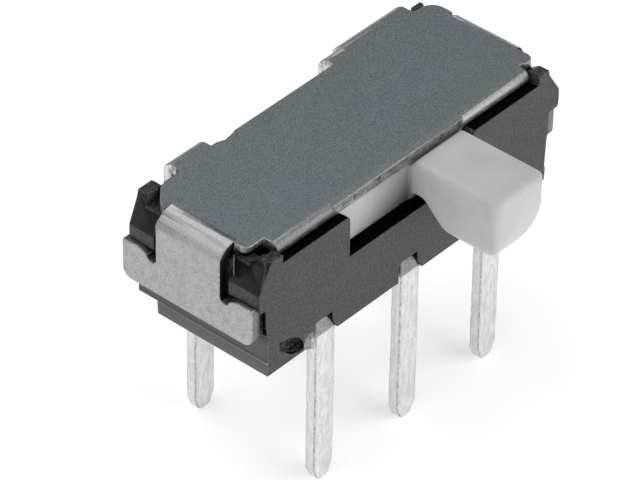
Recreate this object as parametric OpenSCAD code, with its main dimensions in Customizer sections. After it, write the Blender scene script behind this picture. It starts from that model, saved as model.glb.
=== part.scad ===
// Miniature slide switch: two poles, two positions, knob out of the long side,
// six straight terminals for a circuit board.
// X runs along the body, the knob points to -Y, Z is up.
// Z = 0 is the underside of the body, where it meets the board.
// All sizes are in millimetres.

/* [Body] */
// Length of the moulded body at mid height
body_l = 8.54; // [8.44:0.02:8.56]
// Distance of the front face from the centre line of the cover
front_y = 1.77; // [1.75:0.01:1.80]
// Distance of the rear face from the centre line of the cover
rear_y = 1.62; // [1.60:0.01:1.64]
// Height of the front and rear wall tops
wall_top = 2.54; // [2.46:0.01:2.55]
// Thickness of the front wall
wall_t = 0.28; // [0.26:0.01:0.30]
// How much the end faces lean in towards the board, each end
end_draft = 0.06; // [0.00:0.01:0.10]
// Length of the knob window in the front wall
window_l = 3.66; // [3.60:0.02:3.86]
// Height of the window sill
sill_z = 1.56; // [1.50:0.01:1.57]
// Height of the base, which is stepped in along the rear
base_h = 0.33; // [0.24:0.01:0.36]
// How far the base is stepped in along the rear
base_step = 0.51; // [0.40:0.01:0.52]

/* [Corner posts] */
// Height of the four corner posts
post_top = 2.78; // [2.72:0.01:2.80]
// How far the posts reach past the end faces
post_reach = 0.23; // [0.18:0.01:0.25]
// Length of a post top, from its inner side to its outer edge
post_l = 0.43; // [0.40:0.01:0.46]
// Height of the catch face under the posts
catch_z = 1.80; // [1.80:0.01:1.90]

/* [Cover] */
// Length over the two cover legs
cover_l = 9.12; // [9.10:0.02:9.20]
// Height of the cover top above the board
cover_h = 2.80; // [2.80:0.01:2.84]
// Sheet thickness of the cover
sheet_t = 0.24; // [0.22:0.01:0.24]
// Width of the cover plate along its middle
plate_w = 3.06; // [3.00:0.01:3.10]
// Width of the narrower plate ends
plate_end_w = 2.58; // [2.50:0.02:2.64]
// Outer radius of the leg bends
bend_r = 0.32; // [0.30:0.01:0.36]
// Width of the cover legs
leg_w = 1.66; // [1.56:0.02:1.70]
// Width over the wings of a leg
wing_w = 3.34; // [3.28:0.02:3.40]
// Height of the lower edge of the legs
wing_bottom = 0.86; // [0.80:0.01:1.00]
// Height of the upper edge of the wings
wing_top = 1.77; // [1.70:0.01:1.77]
// Distance of the rear tabs' outer face from the centre line
tab_y = 1.90; // [1.90:0.01:1.94]
// Height of the lower edge of the rear tabs
tab_bottom = 2.24; // [2.10:0.01:2.40]

/* [Slider] */
// Travel of the slider between its two positions
travel = 2.0; // [1.80:0.05:2.00]
// Width of the knob along the body
knob_w = 1.52; // [1.40:0.02:1.54]
// Reach of the knob past the front face
knob_out = 1.95; // [1.61:0.02:2.19]
// Height of the knob top
knob_top = 2.61; // [2.56:0.01:2.64]
// Lowest height of the knob
knob_low = 1.08; // [1.04:0.01:1.16]
// Radius of the knob's lower outer edge
knob_r = 0.52; // [0.30:0.01:0.54]
// Length of the carriage inside the body
carriage_l = 5.76; // [5.74:0.01:5.80]

/* [Terminals] */
// Spacing of the terminals in a row
pitch = 2.54; // [2.50:0.01:2.54]
// How far the rows stand off the middle of the body
row_x = 0.09; // [0.05:0.01:0.10]
// Spacing of the two rows, centre to centre
row_gap = 3.20; // [3.18:0.01:3.22]
// Width of a terminal
pin_w = 0.58; // [0.46:0.02:0.58]
// Thickness of a terminal
pin_t = 0.25; // [0.22:0.01:0.26]
// Length of a terminal below the body
pin_l = 3.72; // [3.00:0.02:3.80]

/* [Hidden] */
$fn = 48;
hl = body_l / 2;                  // half length of the body
under = cover_h - sheet_t;        // underside of the cover plate
co = cover_l / 2;                 // outer face of the legs
bx = co - bend_r;                 // where the right leg bend starts
ease = 0.21;                      // the left bend starts this much earlier
ease_a = 21;                      // angle of its first, wider arc
drop = ease * tan(ease_a / 2);    // and ends this much lower
pw = plate_w / 2;
ew = plate_end_w / 2;
inner_f = front_y - wall_t;       // front wall, inner face
inner_r = rear_y - 0.24;          // rear wall, inner face
cav_l = 3.92;                     // half length of the inner space
hall_z = 1.58;                    // floor of the upper space
trough_z = 0.66;                  // floor of the contact troughs
trough_in = 0.60;                 // half width of the centre rib
shoe_z = 1.60;                    // underside of the carriage
home = travel / 2;                // the slider stands at its far end
row_y = row_gap / 2;
blade_y = 1.05;                   // middle of the contact blades
blade_w = 1.60;
blade_top = 1.38;
knee_r = 0.30;
run_z = 0.39;                     // middle of the level stretch of a terminal
e = 0.01;                         // clearance round the terminals
post_in_x = hl - post_l - 0.06;   // inner side of a post
post_in_y = 0.97;
ear_x = co - 0.26;                // end of the plate's ears
left_x = post_in_x - 0.11;        // where the plate narrows, left end
right_x = post_in_x + 0.08;       // where the plate narrows, right end
term_x = [row_x - pitch, row_x, row_x + pitch];

black = [0.13, 0.13, 0.14];
steel = [0.62, 0.65, 0.67];
white = [0.90, 0.90, 0.89];
tin = [0.86, 0.86, 0.85];
silver = [0.80, 0.78, 0.72];

// ---- helpers -------------------------------------------------------------

// box from its lowest to its highest corner
module box(a, b) translate(a) cube(b - a);

// a 2D profile given in (y, z), carried along X from x0 to x1
module along_x(x0, x1)
    translate([x0, 0, 0]) rotate([90, 0, 90]) linear_extrude(x1 - x0) children();

// a 2D profile given in (x, z), carried along Y from y0 to y1
module along_y(y0, y1)
    translate([0, y1, 0]) rotate([90, 0, 0]) linear_extrude(y1 - y0) children();

// quarter of a bent sheet in the (a, z) plane: centre at c, outer radius r
module quarter(c, r, t, sa, sz)
    translate(c) intersection() {
        difference() { circle(r); circle(r - t); }
        translate([sa > 0 ? 0 : -2 * r, sz > 0 ? 0 : -2 * r]) square(2 * r);
    }

// rectangle with its two corners on the +X side rounded
module blunt(x0, x1, w, r)
    union() {
        translate([x0, -w]) square([x1 - x0 - r, 2 * w]);
        translate([x0, -w + r]) square([x1 - x0, 2 * w - 2 * r]);
        for (s = [-1, 1]) translate([x1 - r, s * (w - r)]) circle(r);
    }

// ---- housing -------------------------------------------------------------

// end profile of the body: leans in towards the board, the base a little proud
module body_profile()
    polygon([for (m = [-1, 1], p = m < 0 ? [0:7] : [7:-1:0]) let (q = [
        [hl - end_draft, 0], [hl - end_draft + 0.025, base_h - 0.01], [hl - end_draft + 0.01, base_h],
        [hl - end_draft - 0.01, base_h + 0.01], [hl, catch_z], [hl, under - 0.10], [hl - 0.26, under],
        [0, under]][p]) [m * q[0], q[1]]]);

// profile of a post: a ramp that lets the cover wings pass, and a catch under it
module post_profile(top, reach)
    polygon([[post_in_x, 1.2], [hl - 0.02, 1.2], [hl - 0.005, catch_z - 0.05],
             [hl + reach, catch_z], [hl + reach, catch_z + 0.31], [hl + reach - 0.02, catch_z + 0.36],
             [hl - 0.04, top - 0.16], [hl - 0.07, top - 0.02], [hl - 0.10, top],
             [post_in_x + 0.03, top], [post_in_x, top - 0.03]]);

module posts()
    for (m = [0, 1], reach = m > 0 ? post_reach - 0.04 : post_reach + 0.05) mirror([m, 0, 0]) {
        difference() {
            along_y(-front_y, -post_in_y) post_profile(post_top, reach);
            // the front posts are bevelled towards the cover
            along_x(0, 6) polygon([[-1.33, post_top - 0.16], [-1.55, post_top + 0.001],
                                   [-1.55, post_top + 1], [-0.5, post_top + 1], [-0.5, post_top - 0.16]]);
        }
        along_y(post_in_y, rear_y) post_profile(post_top + 0.04, reach);
        // skin of the catch in front of the cover's wing
        along_y(-front_y, -front_y + 0.06)
            polygon([[hl - 0.05, catch_z - 0.14], [hl + reach - 0.03, catch_z - 0.12],
                     [hl + reach, catch_z + 0.01], [hl - 0.05, catch_z + 0.01]]);
    }

// bevel on the outer edge of the left front post, widening towards its top
module post_bevel(x, z) translate([x, -front_y, z])
    polyhedron([[0, 0, 0], [0.44, -0.03, 0.70], [-0.10, -0.03, 0.70], [-0.10, 0.51, 0.70]],
               [[0, 1, 2], [0, 2, 3], [0, 3, 1], [1, 3, 2]]);

// arched pocket round the knee of a terminal, its right side may lean in over the knee
module pocket(x, left, right, top, lean = 0)
    translate([x, 0, 0]) along_y(-front_y - 0.1, -front_y + 0.36) difference() {
        union() {
            translate([-left, -0.1]) square([left + right, top - 0.02]);
            translate([-left + 0.12, 0]) square([left + right - 0.24, top]);
            translate([-left + 0.12, top - 0.12]) circle(0.12);
            translate([right - 0.12, top - 0.12]) circle(0.12);
        }
        if (lean > 0) translate([right, 0])
            polygon([[0, 0], [-lean, 0.25], [-lean - 0.02, top + 0.1], [0.1, top + 0.1], [0.1, 0]]);
    }

module housing() color(black) difference() {
    union() {
        along_y(-front_y, rear_y) body_profile();
        posts();
    }
    // space for the carriage
    box([-cav_l, -inner_f, hall_z], [cav_l, inner_r, 4]);
    // the front and rear walls stop below the cover, between the posts;
    // the left part of the front wall stands a little higher outside the cover
    box([-window_l / 2 - 0.01, -front_y - 1, wall_top], [right_x + 0.03, rear_y + 1, 4]);
    along_x(-post_in_x, -window_l / 2)
        polygon([[-front_y - 1, wall_top + 0.07], [-front_y, wall_top + 0.07], [-pw - 0.02, wall_top - 0.02],
                 [0, wall_top - 0.02], [0, wall_top], [rear_y + 1, wall_top], [rear_y + 1, 4], [-front_y - 1, 4]]);
    post_bevel(-hl - post_reach + 0.02, catch_z + 0.31);
    // seats of the cover's plate ends, between the posts
    for (s = [-1, 1])
        box([s > 0 ? cav_l - 0.3 : -6, -ew - 0.05, under], [s > 0 ? 6 : -cav_l + 0.3, ew + 0.05, 4]);
    box([cav_l - 0.3, 0, under], [6, ew + 0.24, 4]);
    // contact troughs on both sides of the centre rib
    box([-3.62, -inner_f, trough_z], [3.62, -trough_in, hall_z + 0.1]);
    box([-3.62, trough_in, trough_z], [3.62, inner_r, hall_z + 0.1]);
    // window in the front wall, its corners rounded at the top
    box([-window_l / 2, -front_y - 1, sill_z], [window_l / 2, -inner_f + 0.1, 4]);
    for (m = [0, 1]) mirror([m, 0, 0])
        translate([window_l / 2, 0, wall_top + 0.05 * m]) along_y(-front_y - 0.1, -inner_f + 0.1) difference() {
            translate([-0.2, -0.14]) square([0.34, 0.3]);
            translate([0.14, -0.14]) circle(0.14);
        }
    // base stepped in along the rear
    box([-6, rear_y - base_step, -1], [6, rear_y + 1, base_h]);
    // pockets of the front terminals
    pocket(term_x[0], 0.68, 0.05, 0.32);
    for (x = term_x) pocket(x, 0.41, pin_w / 2 + 0.015, 0.48, 0.15);
    // rough recess left by the gate beside the first pocket
    along_y(-front_y - 0.1, -front_y + 0.12)
        polygon([[-3.86, 0.64], [-3.84, 0.43], [-3.68, 0.29], [-3.53, 0.15], [-3.30, 0.06], [-3.13, 0.08],
                 [-3.17, 0.24], [-3.26, 0.40], [-3.40, 0.50], [-3.56, 0.57], [-3.73, 0.59]]);
    // pockets of the rear terminals
    for (x = term_x) mirror([0, 1, 0]) pocket(x, 0.31, 0.31, 0.56);
    // slots that hold the terminals
    for (x = term_x, m = [0, 1]) mirror([0, m, 0])
        translate([x, 0, 0]) terminal_root(e);
}

// ---- terminals -----------------------------------------------------------

// part of a front terminal that is held in the body; g is added all round
module terminal_root(g) {
    y1 = -row_y - pin_t / 2;          // outer face of the pin
    z1 = run_z + pin_t / 2;           // top of the level stretch
    yb = -blade_y + pin_t / 2;        // inner face of the blade
    along_x(-pin_w / 2 - g, pin_w / 2 + g) union() {
        translate([y1 - g, -0.05 - g]) square([pin_t + 2 * g, z1 - knee_r + 0.05 + g]);
        quarter([y1 + knee_r, z1 - knee_r], knee_r + g, pin_t + 2 * g, -1, 1);
        translate([y1 + knee_r, z1 - pin_t - g])
            square([yb - knee_r - (y1 + knee_r), pin_t + 2 * g]);
        quarter([yb - knee_r, z1 - pin_t + knee_r], knee_r + g, pin_t + 2 * g, 1, -1);
        translate([yb - pin_t - g, z1 - pin_t + knee_r])
            square([pin_t + 2 * g, trough_z - (z1 - pin_t + knee_r) + 0.02]);
    }
}

// front terminal at X = 0
module terminal() {
    y1 = -row_y - pin_t / 2;
    z1 = run_z + pin_t / 2;
    tip_w = 0.36;
    union() {
        difference() {
            terminal_root(0);
            // one corner of the knee is cut off
            along_y(y1 - 0.1, y1 + knee_r) translate([pin_w / 2, 0])
                polygon([[0.001, 0], [-0.13, 0.25], [-0.20, 0.37], [-0.30, 0.43], [-0.34, z1 + 0.1], [0.1, z1 + 0.1], [0.1, 0]]);
        }
        // contact blade
        box([-blade_w / 2, -blade_y - pin_t / 2, trough_z], [blade_w / 2, -blade_y + pin_t / 2, blade_top]);
        // pin, with a blunt point
        along_y(y1, y1 + pin_t)
            polygon([[-pin_w / 2, z1 - knee_r], [-pin_w / 2, -pin_l + 0.30],
                     [-tip_w / 2, -pin_l + 0.05], [-tip_w / 2 + 0.08, -pin_l],
                     [tip_w / 2 - 0.08, -pin_l], [tip_w / 2, -pin_l + 0.05],
                     [pin_w / 2, -pin_l + 0.30], [pin_w / 2, -0.02], [pin_w / 2 - 0.12, z1 - knee_r]]);
    }
}

// the first terminal has a short shoulder in its pocket
module terminal_front_left() color(tin) translate([term_x[0], 0, 0]) union() {
    terminal();
    along_y(-row_y - pin_t / 2 + 0.08, -row_y + pin_t / 2)
        polygon([[-pin_w / 2 - 0.36, 0.26], [-pin_w / 2 - 0.36, -0.02], [-pin_w / 2 - 0.27, -0.16],
                 [-pin_w / 2 - 0.08, -0.25], [-pin_w / 2 + 0.10, -0.27], [-pin_w / 2 + 0.10, 0.20], [-pin_w / 2, 0.26]]);
}
module terminal_front_middle() color(tin) translate([term_x[1], 0, 0]) terminal();
module terminal_front_right() color(tin) translate([term_x[2], 0, 0]) terminal();
module terminal_rear_left() color(tin) mirror([0, 1, 0]) translate([term_x[0], 0, 0]) terminal();
module terminal_rear_middle() color(tin) mirror([0, 1, 0]) translate([term_x[1], 0, 0]) terminal();
module terminal_rear_right() color(tin) mirror([0, 1, 0]) translate([term_x[2], 0, 0]) terminal();

// ---- cover ---------------------------------------------------------------

// corner part of the plate in the +X +Y quadrant, its outer corner rounded
module ear(x, y, r) union() {
    square([x, y - r]);
    square([x - r, y]);
    translate([x - r, y - r]) circle(r);
}

module plate_outline() difference() {
    union() {
        translate([-left_x, -pw]) square([left_x + right_x, 2 * pw]);
        rotate(180) ear(ear_x - 0.13, ew - 0.12, 0.17);
        mirror([0, 1]) ear(ear_x + 0.01, ew + 0.02, 0.20);
        // the ear over the right rear post is a little larger
        ear(ear_x + 0.09, ew + 0.21, 0.34);
        // index corner, cut off at a slant
        polygon([[0, 0], [-ear_x - 0.01, 0], [-ear_x - 0.01, leg_w / 2 + 0.02], [-ear_x + 0.04, 0.92],
                 [-4.18, 1.05], [-4.09, 1.14], [-3.99, 1.23], [-3.90, 1.31], [-3.82, 1.37], [-3.73, 1.41], [-3.0, 1.43], [-3.0, 0]]);
    }
    translate([-left_x - 0.01, 1.42]) polygon([[0, 0], [left_x - 3.20, 0.01], [left_x - 3.20, 0.4], [-0.2, 0.4], [-0.2, 0]]);
    // the legs bend down here
    translate([bx, -leg_w / 2]) square([1, leg_w]);
    translate([-bx + ease - 1, -leg_w / 2]) square([1, leg_w]);
    // relief slots beside the legs
    for (s = [-1, 1]) {
        translate([bx + 0.09, s * (leg_w / 2 + 0.04) - 0.04]) square([1, 0.08]);
        translate([bx + 0.09, s * (leg_w / 2 + 0.04)]) circle(0.04);
    }
    translate([-ear_x + 0.13 - 1, -leg_w / 2 - 0.06]) square([1, 0.06]);
    translate([-ear_x + 0.13, -leg_w / 2 - 0.03]) circle(0.03);
    // small notch at the right front ear
    translate([right_x + 0.07, -ew - 0.02]) circle(0.07);
    // relief at the root of the left rear tab
    polygon([[-2.20, 2], [-2.20, 1.60], [-2.09, 1.52], [-1.88, 1.46], [-1.60, 1.50], [-1.54, pw + 0.001], [-1.54, 2]]);
    // the front lips are rolled over
    translate([-left_x - 0.1, -pw - 0.1]) square([left_x + 0.1 - 2.06, 0.26]);
    translate([1.80, -pw - 0.1]) square([right_x + 0.1 - 1.80, 0.26]);
}

// front lip: the edge of the plate is rolled over slightly
module lip(x0, x1) along_x(x0, x1) union() {
    translate([-pw, under]) square([0.2, sheet_t - 0.16]);
    translate([-pw + 0.16, under]) square([0.04, sheet_t]);
    intersection() {
        translate([-pw + 0.16, cover_h - 0.16]) circle(0.16);
        translate([-pw, cover_h - 0.16]) square([0.16, 0.16]);
    }
}

// rear tab: turned down behind the rear wall, its outer face at y
module tab(x0, x1, y, r = 0.27) along_x(x0, x1) {
    translate([pw - 0.2, under]) square([y - r - pw + 0.2, sheet_t]);
    tab_bend(y, r);
}

module tab_bend(y, r = 0.27) {
    quarter([y - r, cover_h - r], r, sheet_t, 1, 1);
    translate([y - sheet_t, tab_bottom]) square([sheet_t, cover_h - r - tab_bottom]);
}

// leg with its two wings, seen along X: profile in (y, z), up to the bend
module leg_face(top) difference() {
    union() {
        translate([-leg_w / 2, wing_bottom]) square([leg_w, top - wing_bottom]);
        translate([-wing_w / 2, wing_bottom + 0.22]) square([wing_w + 0.04, wing_top - wing_bottom - 0.22]);
        translate([-wing_w / 2 + 0.22, wing_bottom]) square([wing_w - 0.40, 0.3]);
        translate([-wing_w / 2 + 0.22, wing_bottom + 0.22]) circle(0.22);
        translate([wing_w / 2 - 0.18, wing_bottom + 0.22]) circle(0.22);
    }
    for (s = [-1, 1]) {
        // relief between leg and wing
        translate([s * (leg_w / 2 + 0.12), wing_top - 0.08]) circle(0.12);
        translate([s > 0 ? leg_w / 2 : -leg_w / 2 - 0.24, wing_top - 0.08]) square([0.24, 0.4]);
        translate([s * (leg_w / 2 + 0.30), wing_top]) polygon([[-s * 0.10, -0.10], [s * 0.14, 0.001], [-s * 0.10, 0.001]]);
    }
}

module leg() union() {
    along_y(-leg_w / 2, leg_w / 2) quarter([bx, cover_h - bend_r], bend_r, sheet_t, 1, 1);
    along_x(co - sheet_t, co) leg_face(cover_h - bend_r);
}

// bend of the left leg: a wide arc eases it out of the plate, the rest is tighter.
// d is the depth under the sheet's outer face
function eased(d) = let (k = ease / sin(ease_a), z2 = cover_h - bend_r - drop) concat(
    [for (i = [0:4]) let (t = ease_a * i / 4)
        [bx - ease + (bend_r + k - d) * sin(t), cover_h - bend_r - k + (bend_r + k - d) * cos(t)]],
    [for (i = [1:12]) let (t = ease_a + (90 - ease_a) * i / 12)
        [bx + (bend_r - d) * sin(t), z2 + (bend_r - d) * cos(t)]]);

module eased_bend() {
    low = cover_h - bend_r - drop - 0.05;
    inner = eased(sheet_t);
    polygon(concat([[bx - ease - 0.02, cover_h]], eased(0), [[co, low], [co - sheet_t, low]],
                   [for (i = [len(inner) - 1:-1:0]) inner[i]], [[bx - ease - 0.02, under]]));
}

module cover() color(steel) union() {
    translate([0, 0, under]) linear_extrude(sheet_t) plate_outline();
    leg();
    mirror([1, 0, 0]) {
        along_y(-leg_w / 2, leg_w / 2) eased_bend();
        along_x(co - sheet_t, co) leg_face(cover_h - bend_r - drop);
    }
    lip(-left_x, -2.06);
    lip(1.80, right_x);
    tab(-3.18, -2.20, tab_y, 0.25);
    tab(1.40, 1.94, tab_y + 0.03);
    // the long tab stands a little further out along most of its length
    tab(1.93, right_x - 0.01, tab_y + 0.11);
}

// ---- slider --------------------------------------------------------------

// knob seen from the end, in (y, z)
module knob_profile() {
    yt = -front_y - knob_out;
    difference() {
        union() {
            // the part in front of the cover stands higher than the neck below it
            translate([yt, knob_low + knob_r]) square([-pw - 0.03 - yt, knob_top - knob_low - knob_r - 0.10]);
            translate([yt + 0.10, knob_top - 0.2]) square([-pw - 0.03 - yt - 0.10, 0.2]);
            translate([yt + 0.10, knob_top - 0.10]) circle(0.10);
            translate([yt + knob_r, knob_low]) square([-pw - 0.03 - yt - knob_r, knob_r + 0.2]);
            translate([yt + knob_r, knob_low + knob_r]) circle(knob_r);
            translate([-pw - 0.2, shoe_z]) square([pw + 0.2 - inner_f + 0.3, under - 0.06 - shoe_z]);
        }
        // room for the wall below the window
        translate([-front_y - 0.04, -1]) square([2, shoe_z + 1]);
        translate([-front_y - 0.04, 1]) square([wall_t - 0.02 + 0.04, 0.78]);
        // the underside slopes up to the root
        translate([-front_y, knob_low])
            polygon([[0, -1], [0, 0.71], [-0.06, 0.675], [-0.13, 0.62], [-0.30, 0.43], [-0.44, 0.26], [-0.54, 0.15],
                     [-0.64, 0.07], [-0.75, 0.02], [-0.88, -0.001], [-0.88, -1]]);
    }
}

// plan of the knob: outer corners rounded
module knob_plan() {
    yt = -front_y - knob_out;
    union() {
        translate([-knob_w / 2, yt + 0.22]) square([knob_w, 4]);
        translate([-knob_w / 2 + 0.22, yt]) square([knob_w - 0.44, 0.4]);
        for (s = [-1, 1]) translate([s * (knob_w / 2 - 0.22), yt + 0.22]) circle(0.22);
    }
}

// knob seen from the front, in (x, z): narrower below, its corners rounded
module knob_front() {
    r = 0.34;
    c = 0.11;
    d = 0.05;                         // draft of each side
    w = knob_w / 2;
    union() {
        polygon([[-w, knob_top - c], [w, knob_top - c], [w - d, knob_low + r], [-w + d, knob_low + r]]);
        translate([-w + c, knob_top - 0.3]) square([2 * w - 2 * c, 0.3]);
        for (s = [-1, 1]) translate([s * (w - c), knob_top - c]) circle(c);
        translate([-w + d + r, knob_low]) square([2 * (w - d - r), r + 0.1]);
        for (s = [-1, 1]) translate([s * (w - d - r), knob_low + r]) circle(r);
    }
}

module slider() color(white) translate([home, 0, 0]) union() {
    // carriage
    box([-carriage_l / 2, -inner_f + 0.02, shoe_z], [carriage_l / 2, inner_r - 0.03, under - 0.06]);
    // knob
    intersection() {
        along_x(-knob_w / 2, knob_w / 2) knob_profile();
        translate([0, 0, 0.5]) linear_extrude(3) knob_plan();
        along_y(-6, 0) knob_front();
        // the lower right corner is rounded off further
        union() {
            translate([-0.2, -front_y - knob_out + 1.17, knob_low + 1.17]) sphere(1.49);
            box([-2, -front_y - knob_out + 1.17, 0], [2, 1, 4]);
        }
    }
    for (s = [-1, 1]) {
        // pegs that hold the bridges
        translate([0, s * blade_y, shoe_z - 0.16]) cylinder(h = 0.2, r = 0.14);
        // end stops of the bridges
        for (m = [-1, 1])
            translate([m * 1.27 - 0.1, s * blade_y - 0.22, shoe_z - 0.16]) cube([0.2, 0.44, 0.2]);
    }
}

// ---- bridges -------------------------------------------------------------

// sprung clip that straddles the blades, at X = 0 on the rear side
module bridge() {
    l = 1.15;
    t = 0.10;
    gap = 0.05;
    y0 = blade_y - pin_t / 2 - gap - t;
    y1 = blade_y + pin_t / 2 + gap + t;
    union() {
        difference() {
            union() {
                box([-l, y0, shoe_z - t], [l, y1, shoe_z]);
                box([-l, y0, 0.80], [l, y0 + t, shoe_z]);
                box([-l, y1 - t, 0.80], [l, y1, shoe_z]);
            }
            translate([0, blade_y, shoe_z - 0.2]) cylinder(h = 0.3, r = 0.15);
            // slots that free the four spring fingers
            box([-0.35, y0 - 0.1, 0.7], [0.35, y1 + 0.1, 1.36]);
        }
        // contact dimples
        for (x = [-0.95, 0.95]) {
            translate([x, y0 + t - 0.02, 1.05]) rotate([-90, 0, 0]) cylinder(h = 0.065, r1 = 0.14, r2 = 0.07, $fn = 48);
            translate([x, y1 - t + 0.02, 1.05]) rotate([90, 0, 0]) cylinder(h = 0.065, r1 = 0.14, r2 = 0.07, $fn = 48);
        }
    }
}

module bridge_rear() color(silver) translate([home, 0, 0]) bridge();
module bridge_front() color(silver) translate([home, 0, 0]) mirror([0, 1, 0]) bridge();

// ---- assembly ------------------------------------------------------------
housing();
cover();
slider();
terminal_front_left();
terminal_front_middle();
terminal_front_right();
terminal_rear_left();
terminal_rear_middle();
terminal_rear_right();
bridge_front();
bridge_rear();
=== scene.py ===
import math
import bpy
import bmesh
import numpy as np
from mathutils import Matrix, Vector, noise
from mathutils.bvhtree import BVHTree
from mathutils.geometry import intersect_point_line


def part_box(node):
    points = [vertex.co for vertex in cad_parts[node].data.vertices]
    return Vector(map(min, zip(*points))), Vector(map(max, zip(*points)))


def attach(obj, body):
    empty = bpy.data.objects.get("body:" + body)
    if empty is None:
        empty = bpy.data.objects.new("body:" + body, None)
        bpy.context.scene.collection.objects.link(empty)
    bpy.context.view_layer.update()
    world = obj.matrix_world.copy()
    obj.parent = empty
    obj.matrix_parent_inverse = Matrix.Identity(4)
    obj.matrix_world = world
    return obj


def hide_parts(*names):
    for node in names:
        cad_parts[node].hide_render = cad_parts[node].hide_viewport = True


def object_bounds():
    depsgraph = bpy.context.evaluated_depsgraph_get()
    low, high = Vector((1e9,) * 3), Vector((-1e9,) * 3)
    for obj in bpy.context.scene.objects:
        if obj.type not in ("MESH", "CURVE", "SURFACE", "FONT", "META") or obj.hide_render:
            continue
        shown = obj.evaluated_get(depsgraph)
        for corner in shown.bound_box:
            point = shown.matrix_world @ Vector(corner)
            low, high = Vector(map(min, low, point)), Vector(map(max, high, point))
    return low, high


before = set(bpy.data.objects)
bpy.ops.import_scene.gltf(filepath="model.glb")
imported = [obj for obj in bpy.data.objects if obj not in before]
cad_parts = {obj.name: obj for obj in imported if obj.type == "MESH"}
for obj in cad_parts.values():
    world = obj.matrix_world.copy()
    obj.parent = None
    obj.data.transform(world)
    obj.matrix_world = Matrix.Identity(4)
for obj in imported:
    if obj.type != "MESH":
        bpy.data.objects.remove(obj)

MM = 0.001
cad_lo, cad_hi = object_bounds()
scene = bpy.context.scene
scene.view_settings.view_transform = "Standard"
scene.view_settings.look = "None"

# ---------------------------------------------------------------- materials


class Nodes:
    """Small helper round a node tree."""

    def __init__(self, tree):
        self.tree = tree

    def add(self, kind, **values):
        n = self.tree.nodes.new(kind)
        for k, v in values.items():
            setattr(n, k, v)
        return n

    def link(self, a, b):
        self.tree.links.new(a, b)

    def math(self, op, a, b=None, clamp=False):
        n = self.add("ShaderNodeMath", operation=op, use_clamp=clamp)
        for i, v in enumerate((a, b)):
            if v is None:
                continue
            if isinstance(v, (int, float)):
                n.inputs[i].default_value = v
            else:
                self.link(v, n.inputs[i])
        return n.outputs[0]

    def mix(self, fac, a, b):
        n = self.add("ShaderNodeMix", data_type="RGBA")
        for s, v in ((0, fac), (6, a), (7, b)):
            if isinstance(v, (int, float)):
                n.inputs[s].default_value = v
            elif isinstance(v, tuple):
                n.inputs[s].default_value = (*v, 1) if len(v) == 3 else v
            else:
                self.link(v, n.inputs[s])
        return n.outputs[2]

    def ramp(self, fac, lo, hi, a=0.0, b=1.0):
        n = self.add("ShaderNodeMapRange")
        n.interpolation_type = "SMOOTHSTEP"
        self.link(fac, n.inputs["Value"])
        n.inputs["From Min"].default_value = lo
        n.inputs["From Max"].default_value = hi
        n.inputs["To Min"].default_value = a
        n.inputs["To Max"].default_value = b
        return n.outputs["Result"]

    def mm(self, stretch=(1, 1, 1)):
        """Object coordinates in millimetres."""
        t = self.add("ShaderNodeTexCoord")
        m = self.add("ShaderNodeMapping")
        m.inputs["Scale"].default_value = tuple(1000.0 * s for s in stretch)
        self.link(t.outputs["Object"], m.inputs["Vector"])
        return m.outputs["Vector"]

    def noise(self, vec, scale, detail=3.0, rough=0.55, distort=0.0):
        n = self.add("ShaderNodeTexNoise")
        n.inputs["Scale"].default_value = scale
        n.inputs["Detail"].default_value = detail
        n.inputs["Roughness"].default_value = rough
        n.inputs["Distortion"].default_value = distort
        self.link(vec, n.inputs["Vector"])
        return n.outputs["Fac"]

    def voronoi(self, vec, scale, feature="F1"):
        n = self.add("ShaderNodeTexVoronoi")
        n.feature = feature
        n.inputs["Scale"].default_value = scale
        self.link(vec, n.inputs["Vector"])
        return n.outputs["Distance"]

    def bump(self, height, strength, distance_mm, normal=None):
        n = self.add("ShaderNodeBump")
        n.inputs["Strength"].default_value = strength
        n.inputs["Distance"].default_value = distance_mm * MM
        self.link(height, n.inputs["Height"])
        if normal is not None:
            self.link(normal, n.inputs["Normal"])
        return n.outputs["Normal"]


def material(name):
    m = bpy.data.materials.new(name)
    m.use_nodes = True
    k = Nodes(m.node_tree)
    shader = m.node_tree.nodes["Principled BSDF"]
    return m, k, shader


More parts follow.
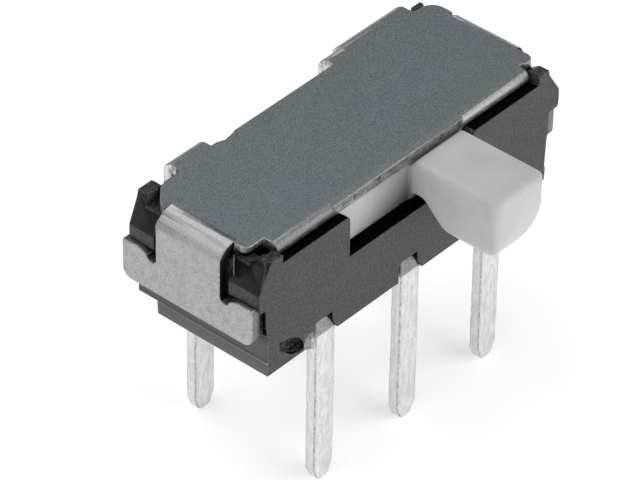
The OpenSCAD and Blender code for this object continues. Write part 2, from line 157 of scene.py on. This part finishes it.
def cover_face():
    m, k, s = material("cover_satin")
    v = k.mm()
    grain = k.noise(v, 31.0, 3.0, 0.75)
    coarse = k.noise(v, 6.5, 3.0, 0.6)
    streak = k.noise(k.mm((0.35, 5.0, 5.0)), 5.0, 4.0, 0.6)
    cloud = k.noise(v, 0.9, 3.0, 0.5)
    top = k.mix(k.ramp(cloud, 0.36, 0.64), (0.425, 0.468, 0.449), (0.44, 0.458, 0.516))
    top = k.mix(k.ramp(streak, 0.35, 0.68, 0.0, 0.30), top, (0.39, 0.415, 0.425))
    # the bent legs are a neutral, livelier grey than the flat top
    leg = k.mix(k.ramp(coarse, 0.34, 0.66), (0.385, 0.376, 0.372), (0.465, 0.455, 0.449))
    sep = k.add("ShaderNodeSeparateXYZ")
    k.link(v, sep.inputs[0])
    flat = k.ramp(sep.outputs["Z"], 2.785, 2.799)
    # painted highlight: the leg is lighter towards its bend
    leg = k.mix(k.ramp(sep.outputs["Z"], 2.50, 2.62, 0.0, 0.7), leg, (0.62, 0.61, 0.60))
    # painted shade darkens the left front lip, and a painted highlight lightens the front edge of the top, which the
    # die rolled a little
    lip = k.math("MULTIPLY", k.ramp(sep.outputs["Y"], -1.34, -1.40), k.ramp(sep.outputs["X"], -1.7, -1.9))
    lip = k.math("MULTIPLY", lip, k.ramp(k.math("ABSOLUTE", sep.outputs["X"]), 4.0, 3.8))
    leg = k.mix(k.math("MULTIPLY", lip, 0.92), leg, (0.195, 0.198, 0.196))
    top = k.mix(k.ramp(sep.outputs["Y"], -1.27, -1.41, 0.0, 0.45), top, (0.58, 0.59, 0.58))
    c = k.mix(flat, leg, top)
    c = k.mix(k.ramp(grain, 0.44, 0.64, 0.0, 0.42), c, (0.66, 0.68, 0.68))
    c = k.mix(k.ramp(grain, 0.54, 0.36, 0.0, 0.42), c, (0.25, 0.26, 0.265))
    specks = k.ramp(k.noise(v, 9.0, 2.0, 0.5), 0.70, 0.78, 0.0, 0.45)
    c = k.mix(specks, c, (0.30, 0.30, 0.29))
    k.link(c, s.inputs["Base Color"])
    s.inputs["Metallic"].default_value = 1.0
    r = k.math("ADD", k.ramp(grain, 0.3, 0.7, 0.36, 0.50), k.math("MULTIPLY", k.math("SUBTRACT", 1.0, flat), 0.13))
    k.link(r, s.inputs["Roughness"])
    n = k.bump(k.noise(v, 1.6, 2.0, 0.5), 0.10, 0.05)
    n = k.bump(coarse, 0.22, 0.014, n)
    k.link(k.bump(grain, 0.40, 0.008, n), s.inputs["Normal"])
    return m


def cover_cut(name, light, dark, blotch, under=None, rough=(0.42, 0.62), along=(3.0, 3.0, 0.5)):
    """Sheared edge of the sheet; with under, its lower part is dark."""
    m, k, s = material(name)
    v = k.mm(along)
    line = k.noise(v, 6.0, 4.0, 0.65)
    blot = k.noise(k.mm(), 5.0, 3.0, 0.6)
    c = k.mix(k.ramp(line, 0.35, 0.65), dark, light)
    c = k.mix(k.ramp(blot, 0.52, 0.70, 0.0, blotch), c, (0.07, 0.068, 0.062))
    if under:
        sep = k.add("ShaderNodeSeparateXYZ")
        k.link(k.mm(), sep.inputs[0])
        wob = k.math("ADD", sep.outputs["Z"], k.math("MULTIPLY", k.math("SUBTRACT", blot, 0.5), 0.10))
        c = k.mix(k.ramp(wob, under - 0.035, under + 0.035), (0.012, 0.012, 0.011), c)
    k.link(c, s.inputs["Base Color"])
    s.inputs["Metallic"].default_value = 1.0
    k.link(k.ramp(blot, 0.3, 0.7, *rough), s.inputs["Roughness"])
    k.link(k.bump(line, 0.6, 0.012), s.inputs["Normal"])
    return m


def cover_rim():
    m, k, s = material("cover_rim")
    g = k.noise(k.mm(), 16.0, 3.0, 0.6)
    k.link(k.mix(k.ramp(g, 0.35, 0.7), (0.50, 0.505, 0.50), (0.33, 0.335, 0.325)), s.inputs["Base Color"])
    s.inputs["Metallic"].default_value = 1.0
    k.link(k.ramp(g, 0.3, 0.7, 0.50, 0.64), s.inputs["Roughness"])
    k.link(k.bump(g, 0.5, 0.008), s.inputs["Normal"])
    return m


def housing_plastic(edge=False):
    m, k, s = material("housing_edge" if edge else "housing_moulded")
    v = k.mm()
    grain = k.noise(v, 17.0, 4.0, 0.7)
    draw = k.noise(k.mm((6.0, 6.0, 0.8)), 3.0, 3.0, 0.6)
    cloud = k.noise(v, 1.3, 3.0, 0.55)
    lo, hi = ((0.012, 0.013, 0.013), (0.026, 0.026, 0.028)) if edge else ((0.016, 0.0168, 0.0165), (0.030, 0.0305, 0.032))
    c = k.mix(k.ramp(cloud, 0.35, 0.68), lo, hi)
    c = k.mix(k.ramp(grain, 0.44, 0.66, 0.0, 0.8), c, (0.085, 0.085, 0.086))
    c = k.mix(k.ramp(grain, 0.54, 0.36, 0.0, 0.8), c, (0.004, 0.004, 0.004))
    dust = k.ramp(k.noise(v, 15.0, 2.0, 0.5), 0.72, 0.80, 0.0, 0.5)
    c = k.mix(dust, c, (0.12, 0.12, 0.118))
    sep = k.add("ShaderNodeSeparateXYZ")
    k.link(v, sep.inputs[0])
    # a thin light line along the base of the ends
    wob = k.math("ADD", sep.outputs["Z"], k.math("MULTIPLY", k.math("SUBTRACT", cloud, 0.5), 0.03))
    flash = k.math("MULTIPLY", k.ramp(wob, 0.300, 0.318), k.ramp(wob, 0.345, 0.327))
    ends = k.ramp(k.math("ABSOLUTE", sep.outputs["X"]), 4.17, 4.19)
    # painted light: the low parts of the ends are lighter
    low = k.math("MULTIPLY", ends, k.ramp(sep.outputs["Z"], 0.95, 0.75))
    c = k.mix(k.math("MULTIPLY", low, 0.58), c, (0.11, 0.11, 0.11))
    c = k.mix(k.math("MULTIPLY", k.math("MULTIPLY", flash, ends), 0.9), c, (0.30, 0.30, 0.30))
    k.link(c, s.inputs["Base Color"])
    k.link(k.ramp(grain, 0.3, 0.7, 0.46, 0.60) if not edge else k.ramp(grain, 0.3, 0.7, 0.40, 0.54), s.inputs["Roughness"])
    s.inputs["IOR"].default_value = 1.55
    n = k.bump(draw, 0.25, 0.012)
    k.link(k.bump(grain, 0.85, 0.020, n), s.inputs["Normal"])
    return m


def housing_dark(name, base, rough, ior):
    """Glossier plastic for ramps and recesses, with painted shade: a darker base colour than the outer faces."""
    m, k, s = material(name)
    v = k.mm()
    grain = k.noise(v, 15.0, 4.0, 0.7)
    k.link(k.mix(k.ramp(grain, 0.40, 0.66), base, tuple(2.6 * c for c in base)), s.inputs["Base Color"])
    k.link(k.ramp(grain, 0.3, 0.7, rough, rough + 0.14), s.inputs["Roughness"])
    s.inputs["IOR"].default_value = ior
    k.link(k.bump(grain, 0.55, 0.014), s.inputs["Normal"])
    return m


def gate_rough():
    m, k, s = material("housing_gate")
    v = k.mm()
    torn = k.noise(v, 9.0, 4.0, 0.7)
    # near-black torn patch: the rough gate mark, partly its own plastic and partly painted shade in its recess
    k.link(k.mix(k.ramp(torn, 0.46, 0.62), (0.001, 0.0012, 0.001), (0.075, 0.078, 0.075)), s.inputs["Base Color"])
    k.link(k.ramp(torn, 0.3, 0.7, 0.45, 0.8), s.inputs["Roughness"])
    s.inputs["IOR"].default_value = 1.2
    k.link(k.bump(torn, 0.9, 0.03), s.inputs["Normal"])
    return m


def knob_plastic():
    m, k, s = material("knob_moulded")
    v = k.mm()
    cloud = k.noise(v, 1.1, 3.0, 0.5)
    grain = k.noise(v, 18.0, 3.0, 0.6)
    c = k.mix(k.ramp(cloud, 0.35, 0.65), (0.575, 0.577, 0.575), (0.635, 0.633, 0.625))
    c = k.mix(k.ramp(grain, 0.50, 0.70, 0.0, 0.35), c, (0.48, 0.48, 0.475))
    # painted shade on the carriage beside the root of the knob, strongest low down
    sep = k.add("ShaderNodeSeparateXYZ")
    k.link(v, sep.inputs[0])
    side = k.math("SUBTRACT", k.math("ABSOLUTE", k.math("SUBTRACT", sep.outputs["X"], KNOB_X)), KNOB_HALF)
    root_shade = k.math("MULTIPLY", k.ramp(side, 2.4, -0.2), k.ramp(sep.outputs["Y"], -1.60, -1.46))
    root_shade = k.math("MULTIPLY", root_shade, k.ramp(sep.outputs["Z"], 2.40, 1.72, 0.62, 1.0))
    c = k.mix(k.math("MULTIPLY", root_shade, 0.96), c, (0.07, 0.072, 0.075))
    k.link(c, s.inputs["Base Color"])
    k.link(k.ramp(grain, 0.3, 0.7, 0.46, 0.58), s.inputs["Roughness"])
    s.inputs["IOR"].default_value = 1.49
    s.inputs["Subsurface Weight"].default_value = 0.12
    s.inputs["Subsurface Radius"].default_value = (0.00012, 0.00012, 0.00011)
    s.inputs["Subsurface Scale"].default_value = 1.0
    n = k.bump(cloud, 0.08, 0.06)
    k.link(k.bump(grain, 0.45, 0.010, n), s.inputs["Normal"])
    return m


def tin(edge=False):
    m, k, s = material("terminal_edge" if edge else "terminal_tinned")
    v = k.mm()
    mottle = k.noise(k.mm((1.5, 1.5, 0.40)), 7.0, 4.0, 0.62)
    fine = k.noise(k.mm((1.0, 1.0, 0.6)), 20.0, 3.0, 0.65)
    c = k.mix(k.ramp(mottle, 0.34, 0.66), (0.64, 0.64, 0.64), (0.82, 0.82, 0.82))
    c = k.mix(k.ramp(fine, 0.56, 0.74, 0.0, 0.55), c, (0.46, 0.46, 0.46))
    if edge:
        c = k.mix(k.ramp(fine, 0.35, 0.65), (0.36, 0.36, 0.36), (0.66, 0.66, 0.66))
    # painted shade: over the seating plane the strip is a darker grey
    sep = k.add("ShaderNodeSeparateXYZ")
    k.link(v, sep.inputs[0])
    wob = k.math("ADD", sep.outputs["Z"], k.math("MULTIPLY", k.math("SUBTRACT", mottle, 0.5), 0.10))
    above = k.ramp(wob, 0.02, 0.07)
    shaded_grey = k.mix(k.ramp(fine, 0.35, 0.70), (0.25, 0.25, 0.25), (0.37, 0.37, 0.365))
    c = k.mix(above, c, shaded_grey)
    # painted shade: the shoulder of the first terminal is darker still
    spot = k.math("MULTIPLY", k.ramp(sep.outputs["X"], -2.745, -2.80), k.ramp(wob, -0.26, -0.18))
    c = k.mix(k.math("MULTIPLY", spot, 0.8), c, k.mix(k.ramp(fine, 0.40, 0.60), (0.07, 0.07, 0.07), (0.30, 0.30, 0.30)))
    k.link(c, s.inputs["Base Color"])
    s.inputs["Metallic"].default_value = 1.0
    k.link(k.ramp(mottle, 0.3, 0.7, 0.44, 0.60), s.inputs["Roughness"])
    n = k.bump(mottle, 0.35, 0.03)
    k.link(k.bump(fine, 0.45, 0.010, n), s.inputs["Normal"])
    return m


def silver():
    m, k, s = material("bridge_silvered")
    v = k.mm()
    g = k.noise(k.mm((1.0, 4.0, 4.0)), 9.0, 3.0, 0.6)
    k.link(k.mix(k.ramp(g, 0.35, 0.65), (0.74, 0.71, 0.62), (0.86, 0.84, 0.78)), s.inputs["Base Color"])
    s.inputs["Metallic"].default_value = 1.0
    k.link(k.ramp(g, 0.3, 0.7, 0.25, 0.40), s.inputs["Roughness"])
    k.link(k.bump(k.noise(v, 30.0), 0.2, 0.005), s.inputs["Normal"])
    return m


# the knob stands in the middle of the slider
s_lo, s_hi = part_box("slider")
KNOB_X, KNOB_HALF = (s_lo.x + s_hi.x) / 2 / MM, 0.76

M_COVER, M_RIM = cover_face(), cover_rim()
M_CUT = cover_cut("cover_cut_edge", (0.40, 0.39, 0.37), (0.19, 0.185, 0.17), 0.7, along=(0.7, 0.7, 3.0))
M_CUT_EAR = cover_cut("cover_cut_ear", (0.46, 0.455, 0.44), (0.27, 0.265, 0.25), 0.4, 2.675)
M_CUT_WING = cover_cut("cover_cut_wing", (0.25, 0.245, 0.24), (0.20, 0.197, 0.195), 0.15)
M_CUT_TAB = cover_cut("cover_cut_tab", (0.80, 0.80, 0.79), (0.50, 0.495, 0.48), 0.55)
# near-black painted shade for the cut edges of the legs, deep in the slots beside the posts
M_CUT_LEG_SHADE = cover_cut("cover_cut_leg_painted_shade", (0.05, 0.05, 0.048), (0.02, 0.02, 0.019), 0.3)
M_HOUSE, M_HEDGE, M_GATE = housing_plastic(), housing_plastic(True), gate_rough()
# the ramps are glossier plastic, and their darker base is painted shade
M_RAMP = housing_dark("housing_ramp", (0.0034, 0.0050, 0.0045), 0.34, 1.36)
# near-black painted shade with little gloss, for wall tops, sill, pockets and end strips
M_SHADE = housing_dark("housing_painted_shade", (0.0006, 0.0007, 0.0007), 0.70, 1.10)
M_FLASH = housing_dark("housing_flash", (0.16, 0.16, 0.16), 0.5, 1.5)
M_KNOB, M_TIN, M_TEDGE, M_SILVER = knob_plastic(), tin(), tin(True), silver()

# ------------------------------------------------------------------- meshes


def from_node(node):
    """bmesh of a CAD node, welded, its flat faces joined up."""
    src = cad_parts[node].data
    raw = bmesh.new()
    raw.from_mesh(src)
    bmesh.ops.remove_doubles(raw, verts=raw.verts, dist=2e-7)
    raw.verts.index_update()
    me = bpy.data.meshes.new("tmp")
    me.from_pydata([v.co[:] for v in raw.verts], [], [[v.index for v in f.verts] for f in raw.faces])
    raw.free()
    bm = bmesh.new()
    bm.from_mesh(me)
    bpy.data.meshes.remove(me)
    bmesh.ops.dissolve_limit(bm, angle_limit=math.radians(0.7), verts=bm.verts, edges=bm.edges)
    bmesh.ops.recalc_face_normals(bm, faces=bm.faces)
    return bm


def sharp_edges(bm, degrees, keep=None):
    lim = math.radians(degrees)
    out = []
    for e in bm.edges:
        if len(e.link_faces) == 2 and e.calc_face_angle(0) > lim and (keep is None or keep(e)):
            out.append(e)
    return out


def crossings(bm):
    """Points where the outline of a face crosses itself."""
    out = []
    for f in bm.faces:
        m = len(f.verts)
        if m < 4:
            continue
        pts = np.array([v.co for v in f.verts]) / MM
        flat = int(np.argmax(np.abs(np.array(f.normal))))
        p = pts[:, [i for i in range(3) if i != flat]]
        d = np.roll(p, -1, 0) - p
        a, b, da, db = p[:, None], p[None], d[:, None], d[None]
        den = da[..., 0] * db[..., 1] - da[..., 1] * db[..., 0]
        with np.errstate(divide="ignore", invalid="ignore"):
            t = ((b - a)[..., 0] * db[..., 1] - (b - a)[..., 1] * db[..., 0]) / den
            u = ((b - a)[..., 0] * da[..., 1] - (b - a)[..., 1] * da[..., 0]) / den
        i, j = np.meshgrid(np.arange(m), np.arange(m), indexing="ij")
        eps = 1e-4
        hit = (np.abs(den) > 1e-12) & (t > eps) & (t < 1 - eps) & (u > eps) & (u < 1 - eps)
        hit &= (j > i + 1) & ~((i == 0) & (j == m - 1))
        for k, l in zip(*np.nonzero(hit)):
            out.append(Vector(pts[k] + t[k, l] * (pts[(k + 1) % m] - pts[k])) * MM)
    return out


def rounded(bm, width_mm, segs=2, mat=-1, degrees=28, keep=None):
    """Rounds the sharp edges. Where small edges meet too closely for the width,
    the shortest of them stay sharp, so that no face folds over itself."""
    w = width_mm * MM
    bm.edges.index_update()
    bm.normal_update()
    old = BVHTree.FromBMesh(bm)
    use = [e.index for e in sharp_edges(bm, degrees, keep)]
    ends = {e.index: (e.verts[0].co.copy(), e.verts[1].co.copy()) for e in bm.edges}

    def away(p, i):
        a, c = ends[i]
        q, t = intersect_point_line(p, a, c)
        return (p - (a if t < 0 else (c if t > 1 else q))).length

    for _ in range(40):
        out = bm.copy()
        out.edges.ensure_lookup_table()
        bmesh.ops.bevel(out, geom=[out.edges[i] for i in use], offset=w, offset_type="OFFSET",
                        segments=segs, profile=0.5, affect="EDGES", clamp_overlap=False,
                        material=mat, loop_slide=True, miter_outer="SHARP", miter_inner="SHARP")
        out.normal_update()
        spikes = {v for v in out.verts if old.find_nearest(v.co)[3] > 1.02 * w}
        trouble = crossings(out)
        for v in sorted(spikes, key=lambda v: v.index):
            trouble += [e.other_vert(v).co.copy() for e in v.link_edges
                        if e.other_vert(v) not in spikes][:2]
        if not trouble:
            break
        drop = set()
        for p in trouble:
            near = [i for i in use if away(p, i) < 1.3 * w] or [i for i in use if away(p, i) < 3 * w]
            if near and not drop.intersection(near):
                drop.add(min(near, key=lambda i: (ends[i][0] - ends[i][1]).length))
        if not drop:
            break
        use = [i for i in use if i not in drop]
        out.free()
    bm.free()
    return out


def piece(bm, name, body, mats, nodes):
    me = bpy.data.meshes.new(name)
    bm.to_mesh(me)
    bm.free()
    for p in me.polygons:
        p.use_smooth = True
    o = bpy.data.objects.new(name, me)
    scene.collection.objects.link(o)
    for m in mats:
        me.materials.append(m)
    w = o.modifiers.new("normals", "WEIGHTED_NORMAL")
    w.mode = "FACE_AREA"
    w.weight = 60
    w.keep_sharp = True
    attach(o, body)
    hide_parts(*nodes)
    return o


# housing: 0 outer faces, 1 edges, 2 gate mark with painted shade, 3 polished ramps with painted shade, 4 painted shade
# in recesses, on wall tops and on end strips
bm = from_node("housing")
# the ends are split into strips, some of which take painted shade
for co, no in [((0, y, 0), (0, 1, 0)) for y in (-1.66, 1.52)] + [((0, 0, z), (0, 0, 1)) for z in (1.03, 1.60)]:
    ends = [f for f in bm.faces if abs(f.normal.x) > 0.98 and abs(f.calc_center_median().x) > 4.15 * MM]
    geom = set(ends) | {e for f in ends for e in f.edges} | {v for f in ends for v in f.verts}
    bmesh.ops.bisect_plane(bm, geom=list(geom), dist=1e-7, plane_co=[c * MM for c in co], plane_no=no)
h_lo, h_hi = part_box("housing")
front = h_lo.y
bm.normal_update()
for f in bm.faces:
    c, n = f.calc_center_median() / MM, f.normal
    outer = abs(f.calc_center_median().y - front) < 0.004 * MM
    if c.x < -3.1 and c.x > -3.9 and c.z < 0.7 and front / MM + 0.004 < c.y < front / MM + 0.13:
        f.material_index = 2
    elif abs(c.x) > 4.2 and n.x * c.x > 0 and 0.2 < n.z < 0.97 and c.z > 1.9:
        f.material_index = 3
    # painted shade on wall tops and the sill
    elif n.z > 0.9 and 1.0 < c.z < 2.58 and abs(c.x) < 4.0:
        f.material_index = 4
    # painted shade on the end strips beside the front and rear corners
    elif abs(n.x) > 0.98 and abs(c.x) > 4.15 and 1.03 < c.z < 1.60 and (c.y < -1.66 or c.y > 1.52):
        f.material_index = 4
    # painted shade inside the pockets
    elif not outer and c.z < 0.62 and c.y < front / MM + 0.40 and abs(c.x) < 3.6:
        f.material_index = 4
bm = rounded(bm, 0.016, 2, 1)


def whisker(bm, a, b, width, mat, seed):
    """Thin uneven thread of flash between two points, a closed three-sided strip."""
    a, b = Vector(a) * MM, Vector(b) * MM
    along = (b - a).normalized()
    s1 = along.cross(Vector((1, 0, 0))).normalized()
    s2 = along.cross(s1).normalized()
    rings = []
    for i in range(13):
        t = i / 12
        w = width * MM * (0.45 + 0.55 * noise.noise(Vector((seed, 5.0 * t, 0))) + 0.5) * (0.35 if i in (0, 12) else 1)
        mid = a.lerp(b, t) + s1 * 0.012 * MM * noise.noise(Vector((seed + 9, 4.0 * t, 0)))
        rings.append([bm.verts.new(mid + w * (math.cos(g) * s1 + math.sin(g) * s2)) for g in (0.5, 2.6, 4.7)])
    faces = []
    for r, q in zip(rings, rings[1:]):
        faces += [bm.faces.new((r[i], r[(i + 1) % 3], q[(i + 1) % 3], q[i])) for i in range(3)]
    faces += [bm.faces.new(rings[0]), bm.faces.new(rings[-1])]
    bmesh.ops.recalc_face_normals(bm, faces=faces)
    for f in faces:
        f.material_index = mat


whisker(bm, (-4.285, -0.968, 2.64), (-4.44, -1.10, 2.25), 0.015, 5, 3.0)
piece(bm, "housing_shell", "base", [M_HOUSE, M_HEDGE, M_GATE, M_RAMP, M_SHADE, M_FLASH], ["housing"])

# cover: faces cut by the die have their own finish; the cut edges of the legs beside the posts get painted shade
# instead
bm = from_node("cover")
c_lo, c_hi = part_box("cover")
bm.normal_update()
for f in bm.faces:
    c, n = f.calc_center_median(), f.normal
    kind = 1
    if c.z < c_hi.z - 0.38 * MM and abs(c.x) > c_hi.x - 0.26 * MM:      # legs and wings
        cut = abs(n.x) < 0.5
        # kind 5 is painted shade on the leg edges that face the posts
        kind = 5 if abs(n.y) > 0.5 and abs(c.y) < 0.90 * MM and c.z > 1.6 * MM else 3
    elif abs(c.x) > c_hi.x - 0.55 * MM and abs(c.y) < 0.85 * MM:        # leg bends
        cut = abs(n.y) > 0.5
        # the cut sides of the bends take the painted shade too
        kind = 5
    elif c.y > 1.53 * MM:                                               # rear tabs
        cut = abs(n.x) > 0.5 or n.z < -0.5 and c.z < 2.3 * MM
        kind = 4
    elif c.y < -1.37 * MM and n.z > -0.5 and (c.x < -2.07 * MM or c.x > 1.81 * MM) and abs(c.x) < 3.75 * MM:
        cut = abs(n.x) > 0.5                                            # front lips
    else:
        cut = abs(n.z) < 0.5
        kind = 2 if c.y < 0 and abs(c.x) > 2.1 * MM else 1
    f.material_index = kind if cut else 0


def not_beside_bend(e):
    c = (e.verts[0].co + e.verts[1].co) / 2 / MM
    return not (abs(c.x) > 4.0 and abs(c.y) < 0.96 and c.z > 2.72 and abs(e.verts[0].co.z - e.verts[1].co.z) < 0.1 * MM)


bm = rounded(bm, 0.024, 2, 6, keep=not_beside_bend)
piece(bm, "cover_sheet", "base",
      [M_COVER, M_CUT, M_CUT_EAR, M_CUT_WING, M_CUT_TAB, M_CUT_LEG_SHADE, M_RIM], ["cover"])


def moulded(bm, voxel_mm, rounds, where, lo, hi):
    """Even mesh of a solid with its edges softened, kept inside its box."""
    me = bpy.data.meshes.new("tmp")
    bm.to_mesh(me)
    bm.free()
    for v in me.vertices:
        v.co *= 1000
    o = bpy.data.objects.new("tmp", me)
    scene.collection.objects.link(o)
    r = o.modifiers.new("even", "REMESH")
    r.mode = "VOXEL"
    r.voxel_size = voxel_mm
    graph = bpy.context.evaluated_depsgraph_get()
    out = bmesh.new()
    out.from_mesh(o.evaluated_get(graph).to_mesh())
    bpy.data.objects.remove(o)
    bpy.data.meshes.remove(me)
    for _ in range(rounds):
        bmesh.ops.smooth_vert(out, verts=[v for v in out.verts if where(v.co)], factor=0.5,
                              use_axis_x=True, use_axis_y=True, use_axis_z=True)
    for v in out.verts:
        v.co = [min(max(v.co[i] * MM, lo[i]), hi[i]) for i in range(3)]
    return out


# slider: an even mesh, its knob worn soft at the edges
bm = moulded(from_node("slider"), 0.036, 12, lambda p: p.y < -1.56, s_lo, s_hi)
piece(bm, "slider_knob", "slider", [M_KNOB], ["slider"])


def uneven(bm, lo, hi):
    """The tin coat makes the sides of a pin slightly wavy, never beyond its box."""
    z = -0.10 * MM
    while z > lo.z + 0.10 * MM:
        bmesh.ops.bisect_plane(bm, geom=bm.verts[:] + bm.edges[:] + bm.faces[:], dist=1e-7,
                               plane_co=(0, 0, z), plane_no=(0, 0, 1))
        z -= 0.11 * MM
    low = [v for v in bm.verts if v.co.z < -0.08 * MM]
    xs, ys = [v.co.x for v in low], [v.co.y for v in low]
    mid = Vector(((min(xs) + max(xs)) / 2, (min(ys) + max(ys)) / 2, 0))
    for v in low:
        q = v.co / MM
        for i in (0, 1):
            away = v.co[i] - mid[i]
            w = noise.noise(Vector((q.x * 1.5 + 7 * i, q.y * 2.0 + 3, q.z * 2.4)))
            w += 0.5 * noise.noise(Vector((q.x * 3 + 5 * i, q.y * 3, q.z * 6.5)))
            v.co[i] = mid[i] + away * (1 - (0.035 if i == 0 else 0.06) * max(0.0, 0.6 + w))


# terminals
for n in [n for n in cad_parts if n.startswith("terminal_")]:
    bm = rounded(from_node(n), 0.03, 2, 1)
    t_lo, t_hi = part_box(n)
    uneven(bm, t_lo, t_hi)
    piece(bm, n.replace("terminal", "pin"), "base", [M_TIN, M_TEDGE], [n])

# bridges keep their CAD shape
for n in ("bridge_front", "bridge_rear"):
    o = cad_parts[n]
    o.data.materials.clear()
    o.data.materials.append(M_SILVER)
    for p in o.data.polygons:
        p.material_index = 0

# -------------------------------------------------------------------- stage

floor_z = cad_lo.z
me = bpy.data.meshes.new("floor")
h = 1.5
me.from_pydata([(-h, -h, floor_z), (h, -h, floor_z), (h, h, floor_z), (-h, h, floor_z)], [], [(0, 1, 2, 3)])
floor = bpy.data.objects.new("floor", me)
scene.collection.objects.link(floor)
fm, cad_, fs = material("floor_pale")
fs.inputs["Base Color"].default_value = (0.90, 0.90, 0.90, 1)
fs.inputs["Emission Color"].default_value = (1.0, 1.0, 1.0, 1)
fs.inputs["Emission Strength"].default_value = 0.48
fs.inputs["Roughness"].default_value = 0.9
fs.inputs["Specular IOR Level"].default_value = 0.1
me.materials.append(fm)

world = bpy.data.worlds.new("studio")
scene.world = world
world.use_nodes = True
world.node_tree.nodes["Background"].inputs[0].default_value = (0.86, 0.97, 1.0, 1)
world.node_tree.nodes["Background"].inputs[1].default_value = 0.20


def softbox(name, where, target, size, radiance, colour=(1, 1, 1), size_y=None):
    """Area light of a given radiance; places in metres."""
    d = bpy.data.lights.new(name, "AREA")
    d.shape = "RECTANGLE"
    d.size = size
    d.size_y = size_y or size
    d.energy = radiance * math.pi * d.size * d.size_y
    d.color = colour
    o = bpy.data.objects.new(name, d)
    scene.collection.objects.link(o)
    o.location = where
    o.rotation_mode = "QUATERNION"
    o.rotation_quaternion = (Vector(target) - Vector(where)).to_track_quat("-Z", "Y")
    return o


WARM = (1.0, 0.975, 0.96)
softbox("top_light", (-0.11, 0.11, 0.30), (0, 0, 0), 0.46, 1.17, WARM, 0.42)
softbox("front_light", (0.16, -0.30, 0.20), (0, 0, 0), 0.40, 1.75, WARM)
softbox("left_light", (-0.34, -0.14, 0.12), (0, 0, 0), 0.22, 0.55, WARM)

# ------------------------------------------------------------------- camera

AZ, EL, ROLL = math.radians(-49.1957), math.radians(38.4803), math.radians(0.96629)
back = Vector((math.sin(AZ) * math.cos(EL), -math.cos(AZ) * math.cos(EL), math.sin(EL)))
right0 = Vector((math.cos(AZ), math.sin(AZ), 0))
up0 = back.cross(right0)
right = math.cos(ROLL) * right0 + math.sin(ROLL) * up0
up = -math.sin(ROLL) * right0 + math.cos(ROLL) * up0
cam_data = bpy.data.cameras.new("camera")
cam_data.sensor_fit = "HORIZONTAL"
cam_data.sensor_width = 36.0
cam_data.lens = 36.0 * 4769.2541 / 640.0
cam_data.clip_start = 0.001
cam_data.clip_end = 10.0
cam = bpy.data.objects.new("camera", cam_data)
scene.collection.objects.link(cam)
place = Matrix((right, up, back)).transposed().to_4x4()
place.translation = Vector((-56.7946, -48.4489, 59.2849)) * MM
cam.matrix_world = place
scene.camera = cam
